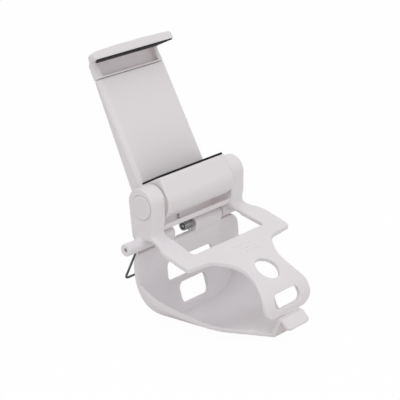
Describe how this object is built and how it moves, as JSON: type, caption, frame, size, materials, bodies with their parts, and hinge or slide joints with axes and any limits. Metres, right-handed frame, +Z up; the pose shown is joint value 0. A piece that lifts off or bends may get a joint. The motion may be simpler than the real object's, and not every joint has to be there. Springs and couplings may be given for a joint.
{
  "type": "controller phone clip",
  "caption": "White sprung cradle that snaps round a game controller, with a tilting clamp arm above it that grips a phone between padded jaws.",
  "frame": {"origin": "middle of the cradle floor, at the lowest level of the lower shell", "axes": "+X to the user's right along the hinge pin, +Y away from the user to the back, +Z up"},
  "size_m": [0.088, 0.1254, 0.1382],
  "materials": {
    "shell_white": "satin gloss, moulded",
    "pad_rubber": "matt",
    "wire_steel": "dark oiled wire",
    "pin_steel": "ground",
    "zinc_steel": "zinc plated",
    "fibre_disc": "matt"
  },
  "bodies": {
    "frame": {"upper_frame": "shell_white", "left_hinge_pin": "pin_steel", "right_hinge_pin": "pin_steel", "left_cap": "shell_white", "right_cap": "shell_white", "tilt_bolt": "zinc_steel", "tilt_nut": "zinc_steel", "spring_washer": "zinc_steel", "left_friction_disc": "fibre_disc", "right_friction_disc": "fibre_disc"},
    "shell": {"lower_shell": "shell_white", "closing_spring": "wire_steel"},
    "bail": {"wire_bail": "wire_steel"},
    "arm": {"arm_shell": "shell_white", "arm_cover": "shell_white", "lower_pad": "pad_rubber", "arm_screws": "zinc_steel", "left_pull_spring": "wire_steel", "right_pull_spring": "wire_steel"},
    "jaw": {"upper_jaw": "shell_white", "upper_pad": "pad_rubber"}
  },
  "joints": [
    {"name": "shell_open", "type": "hinge", "parent": "frame", "child": "shell", "pos_m": [0, 0.0338, 0.0445], "axis": [1, 0, 0], "range_deg": [0, 50], "stiffness_Nm_per_rad": 0.05, "springref_deg": -28.65},
    {"name": "bail_swing", "type": "hinge", "parent": "shell", "child": "bail", "pos_m": [0, 0.0338, 0.0445], "axis": [1, 0, 0], "range_deg": [0, 35]},
    {"name": "arm_tilt", "type": "hinge", "parent": "frame", "child": "arm", "pos_m": [0, 0.032, 0.065], "axis": [1, 0, 0], "range_deg": [-33, 70]},
    {"name": "jaw_slide", "type": "slide", "parent": "arm", "child": "jaw", "axis": [0, 0.5075, 0.8616], "range_m": [0, 0.024], "stiffness_N_per_m": 350, "springref_m": -0.018, "deforming": ["left_pull_spring", "right_pull_spring"]}
  ]
}
